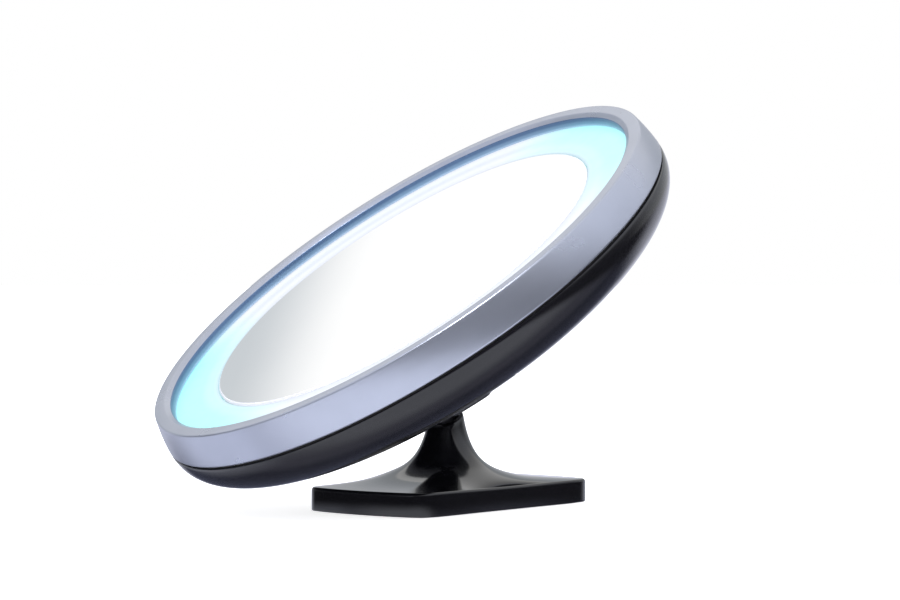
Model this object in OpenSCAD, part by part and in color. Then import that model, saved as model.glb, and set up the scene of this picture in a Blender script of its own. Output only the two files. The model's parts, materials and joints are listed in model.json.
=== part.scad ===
// Lighted vanity mirror: a round, battery-lit head that swivels and tilts on a low weighted base.
// Origin: centre of the stem, on the surface that the mirror stands on.
// The base faces -Y. The head is drawn as it is posed, swivelled and tilted back.

/* [Head] */
// Outer radius of the front lip
lip_r = 100; // [97:1:103]
// Radius at the seam between the ring and the rear shell
seam_r = 102.2; // [102:0.1:104]
// Depth of the seam behind the lip
seam_d = 12.9; // [12.6:0.1:13.4]
// Depth of the rear dome, from the seam to its back
dome_h = 26; // [25.8:0.2:28]
// Radius of the mirror glass
glass_r = 76; // [75:0.5:76]
// Depth of the mirror's face behind the lip
glass_d = 4.5; // [4.3:0.1:4.6]
// Wall thickness of the plastic mouldings
wall = 2.2; // [1.8:0.1:2.3]

/* [Pose] */
// Height of the tilt axis above the table
pivot_h = 56.9; // [56:0.1:60]
// Depth of the tilt axis behind the lip
pivot_d = 36; // [35.8:0.1:36.2]
// Slope of the mirror's face, from level
face_slope = 35.5; // [0:0.5:40]
// Turn of the head about the stem
head_turn = -23.5; // [-180:0.5:180]

/* [Base] */
// Width of the base between its corners
base_w = 54; // [52:1:58]
// Depth of the base between its corners
base_l = 95; // [90:1:98]
// Bow of the short sides
bow_short = 4.2; // [3:0.1:6]
// Bow of the long sides
bow_long = 0.7; // [0.5:0.1:2]
// Distance from the stem back to the middle of the base
base_shift = 2.75; // [0:0.25:4]
// Height of the base at its edge
base_h = 8.6; // [8.2:0.1:9]
// Height of the middle of the stem's sloping top
stem_h = 31.6; // [31:0.1:33]
// Slope of the stem's top
stem_cut = 25; // [20:1:28]

/* [Light] */
// Number of light-emitting diodes
led_count = 36; // [24:1:48]

/* [Hidden] */
$fn = 96;
eps = 0.01;

// Base levels
foot_gap = 0.3;
pad_t = 0.8;
pad_inset = 2.6;
cover_inset = 2.3;
ballast_inset = 2.8;
cover_t = 1.5;
cover_top = pad_t + cover_t;
cavity_top = 6.2;
core_r = 9;
core_top = 12;
half_w = base_w / 2;
half_l = base_l / 2;
corner_power = 16;
base_steps = 60;
base_step = 360 / base_steps;
base_screw_x = 17;
base_screw_y = 34;
screw_r = 1.45;
pilot_r = 1.5;
boss_r = 3.5;
base_head_r = 2.8;
head_fit = 0.1;
recess_half = 1.4;
recess_w = 0.5;
recess_d = 0.7;

// Swivel post and its bushing
post_r = 3;
post_bore_r = 3.05;
post_foot = 6.6;
bush_r = 4.5;
bush_top = 27.5;
collar_r = 4.2;
collar_t = 1.4;
collar_gap = 0.1;
flange_r = 7.2;
flange_t = 0.8;
washer_r = 6.6;
washer_t = 0.65;
washer_gap = 0.1;
nut_h = 2.6;
nut_r = 5;

// Tilt hinge
eye_r = 5;
eye_half = 3.8;
pin_r = 2;
pin_bore_r = 2.05;
washer_in = 4.1;
washer_out = 5.1;
ear_in = 5.15;
ear_t = 1.5;
ear_r = 4.5;
bracket_x = 14;
bracket_y = 13;
bracket_t = 1.5;
pin_head_t = 1.6;
pin_head_r = 3.4;
pin_tail = 2.8;
pin_nut_h = 2.2;
pin_nut_r = 3.6;
bracket_screw_x = 10.5;
bracket_screw_y = 9.5;
bracket_head_r = 2.6;
bracket_head_t = 1.6;

// Head levels, as depths behind the lip
lip_in = 95.6;
wall_in = 93.6;
bevel_d = 1.3;
shelf_d = 4.6;
pocket_r = 98;
ring_foot_d = 12.2;
diff_in = glass_r + 0.4;
diff_out = 97.4;
diff_d = 4.9;
diff_t = 2;
glass_t = 3;
glass_bevel = 0.8;
foam_t = 1;
foam_r = 72;
plate_d = glass_d + glass_t + foam_t;
plate_t = 2;
floor_d = 14.5;
back_d = 16.5;
board_t = 1.6;
step_r = 75.2;
channel_in = 77.4;
channel_out = 95.2;
rib_from = 8;
rib_to = 76.2;
rib_t = 2;
board_in = 79.5;
board_out = 92.5;
led_ring_r = 86;
chip_h = 1.1;
chip_x = 1.4;
chip_y = 1.75;

// Rear shell
dome_p = 3.36;
dome_q = 2.33;
dome_steps = 18;
pod_r = 22;
pod_d = 44;
pod_flare = 5;
slot_half = 3.6;
slot_up = 4.5;
slot_down = 13;
shell_screw_r = 86;
shell_screw_at = [45, 135, 225, 315];
shell_seat_d = 26.3;
shell_boss_d = 24;
shell_head_r = 2.8;
shell_head_t = 1.8;
shell_seat_r = 3.1;
shell_hole_r = 1.65;
ledge_t = 1.6;

// Battery bays, one each side of the hinge
bay_turn = -24;
bay_from = 22;
bay_to = 77;
bay_half = 16.4;
tray_end = 1;
tray_wall = 1.4;
tab_t = 0.3;
tab_in = bay_from + tray_end + tab_t;
tab_out = bay_to - tray_end - tab_t;
cell_l = 49.5;
cell_nub = 1.2;
cell_nub_r = 2.7;
cell_gap = 0.02;
tab_half = 13;
tab_d = 28;
tab_h = 10;
cell_r = 7.1;
cell_x = 7.35;
cell_d = back_d + 0.8 + cell_r;
tray_top_d = 30;
tray_floor = 0.8;
door_from = 28.5;
door_to = 89;
door_half = 18;
door_gap = 0.35;

// Driver board, switch and wires
driver_y = 40;
driver_x = 22;
driver_half = 8;
driver_d = 20;
switch_y = 58;
switch_travel = 4;
knob_x = 2;
knob_y = 2;
knob_out = 3.6;
knob_rib_h = 0.5;
knob_rib_half = 0.3;
switch_slot_x = 4.6;
switch_slot_y = 2.4;
switch_seat_d = 34.3;
wire_ring_r = 26.5;
wire_r = 0.8;

// ---- Frames ----

// The swivelling frame: Z up the post, X along the tilt axis, origin at the tilt axis
module post_frame() {
  translate([0, 0, pivot_h]) rotate([0, 0, head_turn]) children();
}

// The head's frame: Z out of the mirror, Y up its face, origin at the middle of the lip
module head_frame() {
  post_frame() rotate([face_slope, 0, 0]) translate([0, 0, pivot_d]) children();
}

// A battery bay's frame: X out from the middle of the head, side 1 right or -1 left
module bay_frame(side) {
  head_frame() rotate([0, 0, side > 0 ? bay_turn : 180 - bay_turn]) children();
}

// A cylinder between two depths behind the lip
module disc(d0, d1, r, r2 = undef) {
  translate([0, 0, -d1]) cylinder(h = d1 - d0, r1 = is_undef(r2) ? r : r2, r2 = r);
}

// A box between two depths behind the lip, given its half sizes
module slab(d0, d1, hx, hy) {
  translate([-hx, -hy, -d1]) cube([2 * hx, 2 * hy, d1 - d0]);
}

// ---- Base outline ----

// Radius of a circle that bows by "bow" over a chord of two "half"s
function bow_radius(half, bow) = (half * half + bow * bow) / (2 * bow);

// Distance from the middle of the base to a bowed side that faces angle 0, in direction "a"
function side_reach(a, half, out, bow) =
  let (r = bow_radius(half, bow), k = out + bow - r)
  k * cos(a) + sqrt(r * r - pow(k * sin(a), 2));

// Distance from the middle of the base to its outline; the power sum rounds the corners
function outline_r(a) =
  let (
    ends = [for (b = [90, 270]) pow(side_reach(a - b, half_w, half_l, bow_short), -corner_power)],
    sides = [for (b = [0, 180]) pow(side_reach(a - b, half_l, half_w, bow_long), -corner_power)]
  )
  pow(ends[0] + ends[1] + sides[0] + sides[1], -1 / corner_power);

module outline(inset) {
  translate([0, base_shift])
    polygon([for (i = [0:base_steps - 1]) let (a = i * base_step, r = outline_r(a) - inset)
      [r * cos(a), r * sin(a)]]);
}

// ---- Base surface: a plate that sweeps up into a round stem ----

edge_inset = 1.1;
// Height and inset of each ring up the plate's edge
edge_rings = [[foot_gap, 0.3], [0.8, 0], [base_h - 1.3, 0], [base_h - 0.4, 0.3], [base_h, edge_inset]];
// Heights above the plate of the rings up the stem
flare_at = [0.3, 0.8, 1.4, 2.2, 3.2, 4.6, 6.4, 8.8, 12, 16, 20.5, 25, 29];
flare_k = 9.5;
flare_ref = 13;
flare_p = 0.685;
flare_blend = 5.5;

// Radius of the round stem at height "h" above the plate
function stem_r(h) = flare_k * pow(flare_ref / h, flare_p);

// Height at which the round stem would be as wide as the plate is in direction "a"
function flare_offset(a) = flare_ref * pow(flare_k / (outline_r(a) - edge_inset), 1 / flare_p);

// Share of that offset that is left at height "h"
function flare_fade(h) = h < flare_blend ? pow(1 - h / flare_blend, 2) : 0;

function edge_ring(z, inset) =
  [for (i = [0:base_steps - 1]) let (a = i * base_step, r = outline_r(a) - inset)
    [r * cos(a), r * sin(a) + base_shift, z]];

function flare_ring(h) =
  [for (i = [0:base_steps - 1])
    let (
      a = i * base_step,
      r = stem_r(h + flare_offset(a) * flare_fade(h)),
      shift = base_shift * flare_fade(h)
    )
    [r * cos(a), r * sin(a) + shift, base_h + h]];

module base_surface() {
  rings = concat([for (e = edge_rings) edge_ring(e[0], e[1])], [for (h = flare_at) flare_ring(h)]);
  n = base_steps;
  last = (len(rings) - 1) * n;
  walls = [for (j = [0:len(rings) - 2], i = [0:n - 1], t = [0, 1])
    let (a = j * n + i, b = j * n + (i + 1) % n)
    t == 0 ? [a, a + n, b] : [b, a + n, b + n]];
  foot = [[for (i = [0:n - 1]) i]];
  top = [[for (i = [n - 1:-1:0]) last + i]];
  polyhedron([for (r = rings, p = r) p], concat(walls, foot, top), convexity = 6);
}

module at_base_screws() {
  for (x = [-1, 1], y = [-1, 1])
    translate([x * base_screw_x, base_shift + y * base_screw_y, 0]) children();
}

// ---- Base parts ----

module foot_pad() {
  color([0.08, 0.08, 0.08]) linear_extrude(pad_t) outline(pad_inset);
}

module bottom_cover() {
  color([0.1, 0.1, 0.11]) difference() {
    translate([0, 0, pad_t]) linear_extrude(cover_t) outline(cover_inset);
    at_base_screws() translate([0, 0, pad_t - eps]) 
      cylinder(h = cover_t + 2 * eps, r1 = base_head_r + head_fit, r2 = screw_r + head_fit);
  }
}

module base_screws() {
  color([0.7, 0.7, 0.72]) at_base_screws() difference() {
    union() {
      translate([0, 0, pad_t]) cylinder(h = cover_t, r1 = base_head_r, r2 = screw_r);
      translate([0, 0, pad_t]) cylinder(h = cavity_top - pad_t - 0.3, r = screw_r);
    }
    for (a = [0, 90]) rotate(a) translate([-recess_half, -recess_w / 2, pad_t - eps])
      cube([2 * recess_half, recess_w, recess_d]);
  }
}

module ballast_plate() {
  color([0.45, 0.46, 0.48]) difference() {
    translate([0, 0, cover_top]) linear_extrude(cavity_top - cover_top - 0.2) outline(ballast_inset);
    translate([0, 0, cover_top - eps]) cylinder(h = base_h, r = core_r + 0.5);
    at_base_screws() translate([0, 0, cover_top - eps]) cylinder(h = base_h, r = boss_r + 0.3);
  }
}

module base_shell() {
  color([0.06, 0.06, 0.065]) difference() {
    base_surface();
    // Room for the ballast and the cover, around the four screw bosses
    difference() {
      translate([0, 0, -eps]) linear_extrude(cavity_top + eps) outline(wall);
      at_base_screws() translate([0, 0, cover_top]) cylinder(h = base_h, r = boss_r);
    }
    at_base_screws() cylinder(h = cavity_top + 0.4, r = pilot_r);
    // Room for the nut and washers, and the seat of the bushing above it
    cylinder(h = core_top, r = core_r);
    cylinder(h = 3 * stem_h, r = bush_r);
    // The stem's top slopes down to the front
    translate([0, 0, stem_h]) rotate([stem_cut, 0, 0]) translate([-50, -50, 0]) cube(100);
  }
}

module stem_bushing() {
  color([0.75, 0.6, 0.35]) difference() {
    union() {
      translate([0, 0, core_top]) cylinder(h = bush_top - core_top, r = bush_r);
      translate([0, 0, core_top - flange_t]) cylinder(h = flange_t, r = flange_r);
    }
    cylinder(h = 2 * bush_top, r = post_bore_r);
  }
}

// ---- Swivel parts ----

module swivel_post() {
  color([0.8, 0.8, 0.82]) post_frame() difference() {
    union() {
      rotate([0, 90, 0]) translate([0, 0, -eye_half]) cylinder(h = 2 * eye_half, r = eye_r);
      translate([0, 0, post_foot - pivot_h]) cylinder(h = pivot_h - post_foot, r = post_r);
      // Collar that rides on the top of the bushing
      translate([0, 0, bush_top + collar_gap - pivot_h]) cylinder(h = collar_t, r = collar_r);
    }
    rotate([0, 90, 0]) cylinder(h = 4 * eye_half, r = pin_bore_r, center = true);
  }
}

module post_washers() {
  color([0.6, 0.6, 0.62]) for (i = [0, 1])
    translate([0, 0, core_top - flange_t - washer_gap - (washer_t + washer_gap) * (i + 1)]) difference() {
      cylinder(h = washer_t, r = washer_r);
      translate([0, 0, -eps]) cylinder(h = 1, r = post_r);
    }
}

module post_nut() {
  color([0.6, 0.6, 0.62])
    translate([0, 0, core_top - flange_t - 2 * (washer_t + 2 * washer_gap) - nut_h]) difference() {
      cylinder(h = nut_h, r = nut_r, $fn = 6);
      translate([0, 0, -eps]) cylinder(h = nut_h + 1, r = post_r);
    }
}

// ---- Tilt hinge, in the head ----

module hinge_bracket() {
  color([0.65, 0.66, 0.68]) head_frame() difference() {
    union() {
      slab(back_d, back_d + bracket_t, bracket_x, bracket_y);
      for (s = [-1, 1]) translate([s * (ear_in + ear_t / 2), 0, 0]) {
        slab(back_d, pivot_d, ear_t / 2, ear_r);
        translate([0, 0, -pivot_d]) rotate([0, 90, 0]) cylinder(h = ear_t, r = ear_r, center = true);
      }
    }
    translate([0, 0, -pivot_d]) rotate([0, 90, 0]) cylinder(h = 40, r = pin_r, center = true);
    at_bracket_screws() disc(back_d - 1, back_d + 4, pilot_r);
  }
}

module at_bracket_screws() {
  for (x = [-1, 1], y = [-1, 1]) translate([x * bracket_screw_x, y * bracket_screw_y, 0]) children();
}

module hinge_pin() {
  grip = ear_in + ear_t;
  color([0.72, 0.73, 0.75]) head_frame() translate([0, 0, -pivot_d]) rotate([0, 90, 0]) {
    translate([0, 0, -grip]) cylinder(h = 2 * grip + pin_tail, r = pin_r);
    translate([0, 0, -grip - pin_head_t]) cylinder(h = pin_head_t, r = pin_head_r);
  }
}

module pin_nut() {
  color([0.6, 0.6, 0.62]) head_frame() translate([ear_in + ear_t, 0, -pivot_d]) rotate([0, 90, 0])
    difference() {
      cylinder(h = pin_nut_h, r = pin_nut_r, $fn = 6);
      translate([0, 0, -1]) cylinder(h = 5, r = pin_r);
    }
}

module hinge_washers() {
  color([0.8, 0.75, 0.6]) head_frame() translate([0, 0, -pivot_d]) for (s = [-1, 1])
    translate([s * (washer_in + washer_out) / 2, 0, 0]) rotate([0, 90, 0]) difference() {
      cylinder(h = washer_out - washer_in, r = ear_r, center = true);
      cylinder(h = 5, r = pin_r, center = true);
    }
}

module bracket_screws() {
  color([0.7, 0.7, 0.72]) head_frame() at_bracket_screws() {
    disc(plate_d + plate_t + 0.6, back_d + bracket_t, screw_r);
    difference() {
      disc(back_d + bracket_t, back_d + bracket_t + bracket_head_t, bracket_head_r);
      for (a = [0, 90]) rotate(a)
        slab(back_d + bracket_t + bracket_head_t - recess_d, back_d + 9, recess_half, recess_w / 2);
    }
  }
}

// ---- Light and glass ----

// Each ring's section is drawn with X as radius and Y as minus the depth behind the lip
module chassis() {
  color([0.93, 0.94, 0.95]) head_frame() difference() {
    union() {
      rotate_extrude() polygon([
        [0, -plate_d], [step_r, -plate_d], [channel_in, -plate_d - plate_t], [channel_in, -floor_d],
        [channel_out, -floor_d], [channel_out, -diff_d - diff_t], [diff_out, -diff_d - diff_t],
        [diff_out, -back_d], [step_r, -back_d], [step_r, -plate_d - plate_t], [0, -plate_d - plate_t]
      ]);
      for (a = shell_screw_at) rotate(a) translate([shell_screw_r, 0, 0])
        disc(back_d - 0.5, shell_boss_d, boss_r);
      // Block that carries the hinge, and ribs out to the tray
      slab(plate_d + plate_t - 0.5, back_d, bracket_x, bracket_y);
      for (a = [0:45:315]) rotate(a)
        translate([rib_from, -rib_t / 2, 0.5 - back_d])
          cube([rib_to - rib_from, rib_t, back_d - plate_d - plate_t]);
    }
    for (a = shell_screw_at) rotate(a) translate([shell_screw_r, 0, 0])
      disc(back_d + 0.5, shell_boss_d + 1, pilot_r);
    at_bracket_screws() disc(plate_d + plate_t + 0.4, back_d + 1, pilot_r);
  }
}

module led_board() {
  color([0.9, 0.92, 0.88]) head_frame() difference() {
    disc(floor_d - board_t, floor_d, board_out);
    disc(floor_d - 2 * board_t, floor_d + 1, board_in);
  }
}

module led_chips() {
  color([1, 0.97, 0.75]) head_frame() for (i = [0:led_count - 1])
    rotate(i * 360 / led_count) translate([led_ring_r, 0, 0])
      slab(floor_d - board_t - chip_h, floor_d - board_t, chip_x, chip_y);
}

module diffuser_ring() {
  color([0.85, 1, 1]) head_frame() difference() {
    disc(diff_d, diff_d + diff_t, diff_out);
    disc(diff_d - 1, diff_d + diff_t + 1, diff_in);
  }
}

module foam_pad() {
  color([0.25, 0.25, 0.26]) head_frame() disc(glass_d + glass_t, plate_d, foam_r);
}

module mirror_glass() {
  color([0.82, 0.85, 0.87]) head_frame() {
    disc(glass_d, glass_d + glass_bevel, glass_r - glass_bevel, glass_r);
    disc(glass_d + glass_bevel, glass_d + glass_t, glass_r);
  }
}

module bezel_ring() {
  color([0.68, 0.7, 0.76]) head_frame() rotate_extrude() polygon([
    [lip_in, 0], [lip_r - 0.5, 0], [lip_r, -0.5], [lip_r + 1.3, -5.5], [seam_r - 0.35, -9],
    [seam_r - 0.05, -ring_foot_d + 0.4], [seam_r - 0.4, -ring_foot_d],
    [pocket_r, -ring_foot_d], [pocket_r, -shelf_d], [wall_in, -shelf_d], [wall_in + 0.2, -bevel_d]
  ]);
}

module seam_gasket() {
  color([0.03, 0.03, 0.03]) head_frame() difference() {
    disc(ring_foot_d, seam_d, seam_r - 1);
    disc(ring_foot_d - 1, seam_d + 1, pocket_r);
  }
}

// ---- Rear shell ----

// Depth of a dome with rim radius "r1" and height "h" at radius "r"
function dome_d(r, r1, h) = seam_d + h * pow(max(0, 1 - pow(r / r1, dome_p)), 1 / dome_q);

// The dome's section from its rim to its middle
function dome_line(r1, h) =
  [for (i = [0:dome_steps]) let (r = r1 * cos(90 * i / dome_steps)) [r, -dome_d(r, r1, h)]];

// A solid dome, wholly behind the seam
module dome(inset) {
  r1 = seam_r - inset;
  rotate_extrude() polygon(concat([[0, -seam_d]], dome_line(r1, dome_h - inset)));
}

// The round pod over the hinge, which stands proud of the dome
module pod(inset) {
  disc(shell_boss_d, pod_d - inset, pod_r + pod_flare - inset, pod_r - inset);
}

// A door's prism, grown by "grow" all round
module door_prism(side, grow) {
  rotate([0, 0, side > 0 ? bay_turn : 180 - bay_turn]) {
    translate([door_from - grow, -door_half - grow, -60])
      cube([door_to - door_from + 2 * grow, 2 * (door_half + grow), 40]);
  }
}

module rear_shell() {
  color([0.09, 0.09, 0.1]) head_frame() difference() {
    union() {
      difference() {
        union() {
          dome(0);
          pod(0);
        }
        difference() {
          translate([0, 0, eps]) dome(wall);
          for (a = shell_screw_at) rotate(a) translate([shell_screw_r, 0, 0])
            disc(shell_boss_d, 40, boss_r);
        }
        pod(wall);
      }
      // Ledge that the gasket sits on
      difference() {
        disc(seam_d, seam_d + ledge_t, seam_r - 0.4);
        disc(seam_d - 1, seam_d + 3, pocket_r);
      }
    }
    for (side = [-1, 1]) door_prism(side, 0);
    for (a = shell_screw_at) rotate(a) translate([shell_screw_r, 0, 0]) {
      disc(shell_boss_d - 4, pod_d + 6, shell_hole_r);
      disc(shell_seat_d, pod_d + 6, shell_seat_r);
    }
    // Slot that the post passes through
    translate([-slot_half, -slot_down, -60]) cube([2 * slot_half, slot_down + slot_up, 30]);
    // Slot for the switch's knob
    translate([0, switch_y, 0]) slab(30, 50, switch_slot_x, switch_slot_y);
  }
}

module shell_screws() {
  color([0.2, 0.2, 0.21]) head_frame() for (a = shell_screw_at) rotate(a)
    translate([shell_screw_r, 0, 0]) {
      disc(back_d + 1.6, shell_seat_d, screw_r);
      difference() {
        disc(shell_seat_d, shell_seat_d + shell_head_t, shell_head_r);
        for (b = [0, 90]) rotate(b)
          slab(shell_seat_d + shell_head_t - recess_d, pod_d, recess_half, recess_w / 2);
      }
    }
}

// ---- Electrics ----

module driver_board() {
  color([0.1, 0.35, 0.2]) head_frame() translate([0, driver_y, 0]) {
    slab(driver_d, driver_d + board_t, driver_x, driver_half);
    // Two posts to the chassis, then a coil, a chip and a capacitor
    for (x = [-1, 1]) translate([x * (driver_x - 4), 0, 0]) disc(plate_d + plate_t, driver_d, 2);
    translate([-12, 0, 0]) slab(driver_d + board_t, driver_d + 6, 4, 4);
    translate([0, 2, 0]) slab(driver_d + board_t, driver_d + 3, 3, 2.5);
    translate([10, -1, 0]) disc(driver_d + board_t, driver_d + 8, 3);
  }
}

module wire_pair() {
  color([0.7, 0.1, 0.1]) head_frame() for (i = [0, 1])
    translate([0, 0, -back_d - 1.5 - 2.2 * i]) rotate_extrude(angle = 140, start = 20)
      translate([wire_ring_r, 0]) circle(r = wire_r, $fn = 24);
}

module switch_body() {
  color([0.15, 0.15, 0.16]) head_frame() translate([0, switch_y, 0]) difference() {
    slab(switch_seat_d - 5.5, switch_seat_d - 0.3, 8, 4);
    slab(switch_seat_d - 3.5, switch_seat_d, switch_slot_x, switch_slot_y);
  }
}

module switch_knob() {
  color([0.75, 0.76, 0.78]) head_frame()
    translate([switch_travel / 2, switch_y, 0]) {
      slab(switch_seat_d - 3, switch_seat_d + knob_out, knob_x, knob_y);
      for (x = [-1.2, 0, 1.2]) translate([x, 0, 0])
        slab(switch_seat_d + knob_out, switch_seat_d + knob_out + knob_rib_h, knob_rib_half, knob_y);
    }
}

// ---- Batteries ----

module battery_tray(side) {
  color([0.12, 0.12, 0.13]) bay_frame(side) difference() {
    translate([bay_from, -bay_half, -tray_top_d])
      cube([bay_to - bay_from, 2 * bay_half, tray_top_d - back_d]);
    translate([bay_from + tray_end, -bay_half + tray_wall, -tray_top_d - 1])
      cube([
        bay_to - bay_from - 2 * tray_end, 2 * (bay_half - tray_wall), tray_top_d + 1 - back_d - tray_floor
      ]);
  }
}

// Cell "i": 1 and 2 are on the right, 3 and 4 on the left, laid head to tail
module cell(i) {
  side = i < 3 ? 1 : -1;
  lane = i % 2 == 0 ? 1 : -1;
  x0 = lane > 0 ? tab_out - cell_l - cell_gap : tab_in + cell_gap;
  color([0.2, 0.22, 0.26]) bay_frame(side) translate([x0, lane * cell_x, -cell_d])
    rotate([0, 90, 0]) translate([0, 0, lane > 0 ? 0 : cell_l]) mirror([0, 0, lane > 0 ? 0 : 1]) {
      cylinder(h = cell_l - cell_nub, r = cell_r);
      translate([0, 0, cell_l - cell_nub]) cylinder(h = cell_nub, r = cell_nub_r);
    }
}

// Points of a ring across a helix that climbs along X
coil_r = 3.4;
coil_wire = 0.35;
coil_turns = 3;
coil_gap = 0.08;
coil_len = tab_out - tab_in - cell_l - 2 * (coil_wire + coil_gap);
coil_sides = 6;
coil_rings = 36;

function coil_ring(i) =
  let (a = 360 * coil_turns * i / coil_rings, x = coil_len * i / coil_rings)
  [for (k = [0:coil_sides - 1]) let (b = 360 * k / coil_sides, r = coil_r + coil_wire * cos(b))
    [x + coil_wire * sin(b), r * cos(a), r * sin(a)]];

module coil() {
  n = coil_sides;
  last = coil_rings * n;
  walls = [for (j = [0:coil_rings - 1], i = [0:n - 1], t = [0, 1])
    let (a = j * n + i, b = j * n + (i + 1) % n)
    t == 0 ? [a, b, a + n] : [b, b + n, a + n]];
  ends = [[for (i = [n - 1:-1:0]) i], [for (i = [0:n - 1]) last + i]];
  polyhedron([for (i = [0:coil_rings], p = coil_ring(i)) p], concat(walls, ends), convexity = 6);
}

// One contact spring at the flat end of each cell
module contact_springs() {
  color([0.8, 0.8, 0.82]) for (side = [-1, 1], lane = [-1, 1]) bay_frame(side)
    translate([(lane > 0 ? tab_in : tab_in + cell_l) + coil_wire + coil_gap, lane * cell_x, -cell_d])
      coil();
}

// Contact plates at both ends of each bay
module contact_tabs() {
  color([0.85, 0.85, 0.87]) for (side = [-1, 1]) bay_frame(side) {
    translate([tab_in - tab_t, -tab_half, -tab_d]) cube([tab_t, 2 * tab_half, tab_h]);
    translate([tab_out, -tab_half, -tab_d]) cube([tab_t, 2 * tab_half, tab_h]);
  }
}

module battery_door(side) {
  color([0.11, 0.11, 0.12]) head_frame() difference() {
    intersection() {
      dome(0);
      door_prism(side, -door_gap);
    }
    dome(wall);
  }
}

foot_pad();
bottom_cover();
base_screws();
ballast_plate();
base_shell();
stem_bushing();
swivel_post();
post_washers();
post_nut();
hinge_bracket();
hinge_pin();
pin_nut();
hinge_washers();
bracket_screws();
chassis();
led_board();
led_chips();
diffuser_ring();
foam_pad();
mirror_glass();
bezel_ring();
seam_gasket();
rear_shell();
shell_screws();
driver_board();
wire_pair();
switch_body();
switch_knob();
battery_tray(1);  // battery_tray_right
battery_tray(-1);  // battery_tray_left
cell(1);  // cell_1
cell(2);  // cell_2
cell(3);  // cell_3
cell(4);  // cell_4
contact_springs();
contact_tabs();
battery_door(1);  // battery_door_right
battery_door(-1);  // battery_door_left
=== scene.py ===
"""Lighted vanity mirror: the detailed visual model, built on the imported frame."""
import json
import math

import bmesh
import bpy
from mathutils import Matrix, Vector


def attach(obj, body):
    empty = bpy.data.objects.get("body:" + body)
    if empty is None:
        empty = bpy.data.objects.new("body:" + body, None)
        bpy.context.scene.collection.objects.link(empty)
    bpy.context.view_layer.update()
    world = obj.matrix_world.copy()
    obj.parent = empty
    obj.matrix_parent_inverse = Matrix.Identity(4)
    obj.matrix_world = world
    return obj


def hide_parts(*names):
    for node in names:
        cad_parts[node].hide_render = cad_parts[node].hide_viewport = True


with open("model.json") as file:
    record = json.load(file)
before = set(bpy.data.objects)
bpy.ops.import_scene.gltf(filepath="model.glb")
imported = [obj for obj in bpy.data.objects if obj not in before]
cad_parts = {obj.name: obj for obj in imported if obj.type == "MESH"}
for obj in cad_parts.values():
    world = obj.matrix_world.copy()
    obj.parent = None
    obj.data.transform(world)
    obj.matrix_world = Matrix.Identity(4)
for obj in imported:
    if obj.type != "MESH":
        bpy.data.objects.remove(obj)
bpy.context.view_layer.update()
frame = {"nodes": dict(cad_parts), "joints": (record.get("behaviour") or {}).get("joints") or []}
nodes = frame["nodes"]
joints = {j["name"]: j for j in frame["joints"]}
scene = bpy.context.scene
MM = 0.001

# ---------------------------------------------------------------- head, in millimetres
# A name that ends in _D is a depth, back from the plane of the silver lip.
LIP_R = 100.0           # silver lip, outer edge
LIP_IN = 95.6           # silver lip, inner edge
SEAM_R = 102.2          # widest place, where silver meets black
SEAM_D = 12.9           # front edge of the rear shell
FOOT_D = 12.2           # back edge of the silver ring
BAND_IN = 98.0          # inner face of the silver side band
WALL_IN = 93.6          # inner wall of the silver ring, at its foot
SHELF_D = 4.6           # foot of that wall
GLASS_R = 76.0
GLASS_D = 4.5
GLASS_T = 3.0
DIFF_IN = 76.4          # diffuser ring
DIFF_OUT = 97.4
DIFF_D = 4.9
DIFF_T = 2.0
DOME_H = 26.0           # rear shell, behind its front edge
DOME_P = 3.36           # the dome is a superellipse with these two powers
DOME_Q = 2.33
WALL = 2.2              # wall of the rear shell, the lids and the base
PIVOT_D = 36.0          # tilt axis
POD_R = 22.0            # pod over the hinge, at its back
POD_D = 44.0
POD_FLARE = 5.0         # how much wider the pod is at POD_FROM
POD_FROM = 24.0
STEM_SLOT = (8.75, 3.6, 3.4)      # slot for the post: half length, half width, corner round
STEM_SLOT_Y = -4.25
BAY_TURN = -24.0        # bearing of the right battery lid, in degrees
DOOR_FROM = 28.5        # lid, from the middle of the head outwards
DOOR_TO = 89.0
DOOR_HALF = 18.0
DOOR_R = 4.0
DOOR_GAP = 0.35         # all round each lid
SCREW_R = 86.0          # four screw recesses in the shell
SCREW_SEAT_D = 26.3
SCREW_HOLE_R = 3.1
SWITCH_Y = 58.0         # slide switch, above the middle of the head
SWITCH_SLOT = (4.6, 2.4, 0.8)
SWITCH_SEAT = (9.0, 4.6, 2.2)
SWITCH_SEAT_D = 36.55
KNOB_X = 2.0            # at rest the knob is to one side of the middle
KNOB_HALF = 2.0         # half its width, and half its length
KNOB_FOOT_D = 31.3
KNOB_TOP_D = 37.9
CUT_FAR_D = 60.0        # holes in the shell are cut from here, well behind the head,
CUT_BAY_D = 20.5        # to here for the lids
CUT_SLOT_D = 30.0       # and to here for the slots near the pod, in front of the wall there
SEAT_PLAY = 0.02        # keeps a recess off the screw head in it
GRIP_BARS = 6           # raised bars across each lid
GRIP_FROM = 14.5        # the first one, out from the lid's middle
GRIP_PITCH = 2.1
RIBS = (-1.1, 0.0, 1.1)           # ribs across the knob

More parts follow.
